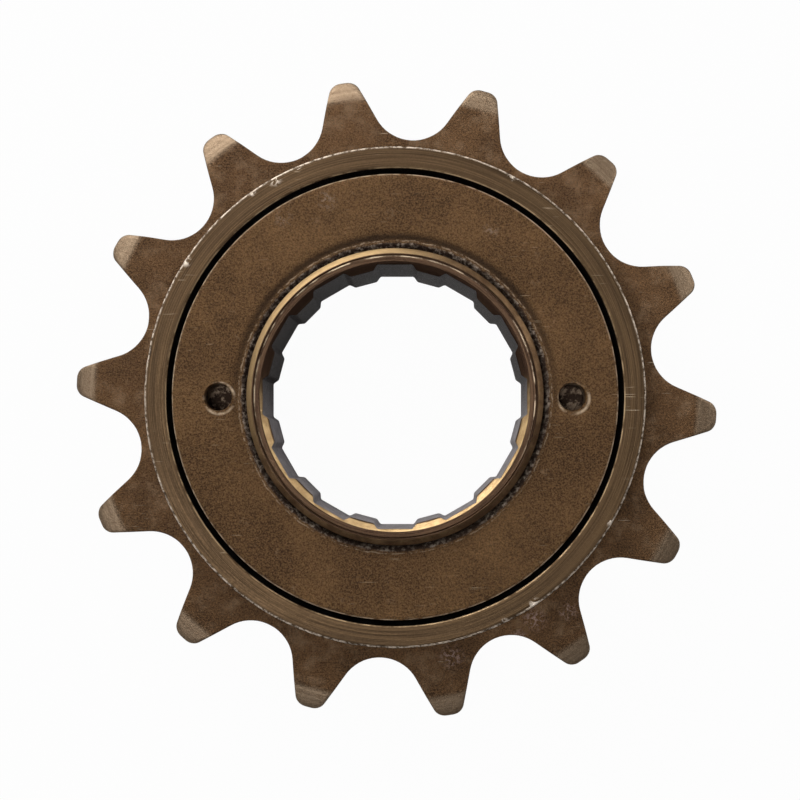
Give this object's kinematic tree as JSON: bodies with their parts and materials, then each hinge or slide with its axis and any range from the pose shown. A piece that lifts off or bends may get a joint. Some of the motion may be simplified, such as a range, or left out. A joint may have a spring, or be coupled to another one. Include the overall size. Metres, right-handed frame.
{
  "type": "single speed freewheel",
  "caption": "Screw-on bicycle freewheel: toothed sprocket ring running on loose balls round a splined core, with ratchet pawls inside and a round bearing cap with spanner holes.",
  "frame": {"origin": "centre of the rear seat face, on the axis; the lowest point of the part", "axes": "+Z along the axis from the hub side to the face with the spanner holes; +X through one spanner hole"},
  "size_m": [0.061, 0.0604, 0.0156],
  "materials": {
    "sprocket_steel": "brown burnished steel, finely turned, rough and mottled on the teeth",
    "cap_steel": "brown burnished steel with a fine grain",
    "core_steel": "dark burnished steel, brighter on the turned lip",
    "shim_steel": "bright cold rolled strip",
    "ball_steel": "polished",
    "pawl_steel": "ground and hardened",
    "spring_wire": "drawn spring wire"
  },
  "bodies": {
    "core_group": {"core": "core_steel", "bearing_cap": "cap_steel", "thick_shim": "shim_steel", "thin_shim": "shim_steel", "pawl_spring_a": "spring_wire", "pawl_spring_b": "spring_wire"},
    "sprocket": {"sprocket_ring": "sprocket_steel"},
    "rear_ball_row": {"rear_balls": "ball_steel"},
    "front_ball_row": {"front_ball_01": "ball_steel", "front_ball_02": "ball_steel", "front_ball_03": "ball_steel", "front_ball_04": "ball_steel", "front_ball_05": "ball_steel", "front_ball_06": "ball_steel", "front_ball_07": "ball_steel", "front_ball_08": "ball_steel", "front_ball_09": "ball_steel", "front_ball_10": "ball_steel", "front_ball_11": "ball_steel", "front_ball_12": "ball_steel", "front_ball_13": "ball_steel", "front_ball_14": "ball_steel", "front_ball_15": "ball_steel", "front_ball_16": "ball_steel", "front_ball_17": "ball_steel", "front_ball_18": "ball_steel", "front_ball_19": "ball_steel", "front_ball_20": "ball_steel", "front_ball_21": "ball_steel", "front_ball_22": "ball_steel", "front_ball_23": "ball_steel", "front_ball_24": "ball_steel", "front_ball_25": "ball_steel", "front_ball_26": "ball_steel", "front_ball_27": "ball_steel", "front_ball_28": "ball_steel", "front_ball_29": "ball_steel", "front_ball_30": "ball_steel", "front_ball_31": "ball_steel", "front_ball_32": "ball_steel", "front_ball_33": "ball_steel", "front_ball_34": "ball_steel", "front_ball_35": "ball_steel", "front_ball_36": "ball_steel", "front_ball_37": "ball_steel"},
    "pawl_a_body": {"pawl_a": "pawl_steel"},
    "pawl_b_body": {"pawl_b": "pawl_steel"}
  },
  "joints": [
    {"name": "sprocket_spin", "type": "hinge", "parent": "core_group", "child": "sprocket", "pos_m": [0, 0, 0.00976], "axis": [0, 0, 1], "continuous": true},
    {"name": "rear_balls_roll", "type": "hinge", "parent": "core_group", "child": "rear_ball_row", "pos_m": [0, 0, 0.00421], "axis": [0, 0, 1], "continuous": true},
    {"name": "front_balls_roll", "type": "hinge", "parent": "core_group", "child": "front_ball_row", "pos_m": [0, 0, 0.01145], "axis": [0, 0, 1], "continuous": true},
    {"name": "pawl_a_swing", "type": "hinge", "parent": "core_group", "child": "pawl_a_body", "pos_m": [0.01314, 0.01102, 0.00783], "axis": [0, 0, -1], "range_deg": [0, 13]},
    {"name": "pawl_b_swing", "type": "hinge", "parent": "core_group", "child": "pawl_b_body", "pos_m": [-0.01314, -0.01102, 0.00783], "axis": [0, 0, -1], "range_deg": [0, 13]}
  ],
  "couplings": [
    {"joint": "rear_balls_roll", "follows": "sprocket_spin", "ratio": 0.529},
    {"joint": "front_balls_roll", "follows": "sprocket_spin", "ratio": 0.529}
  ]
}
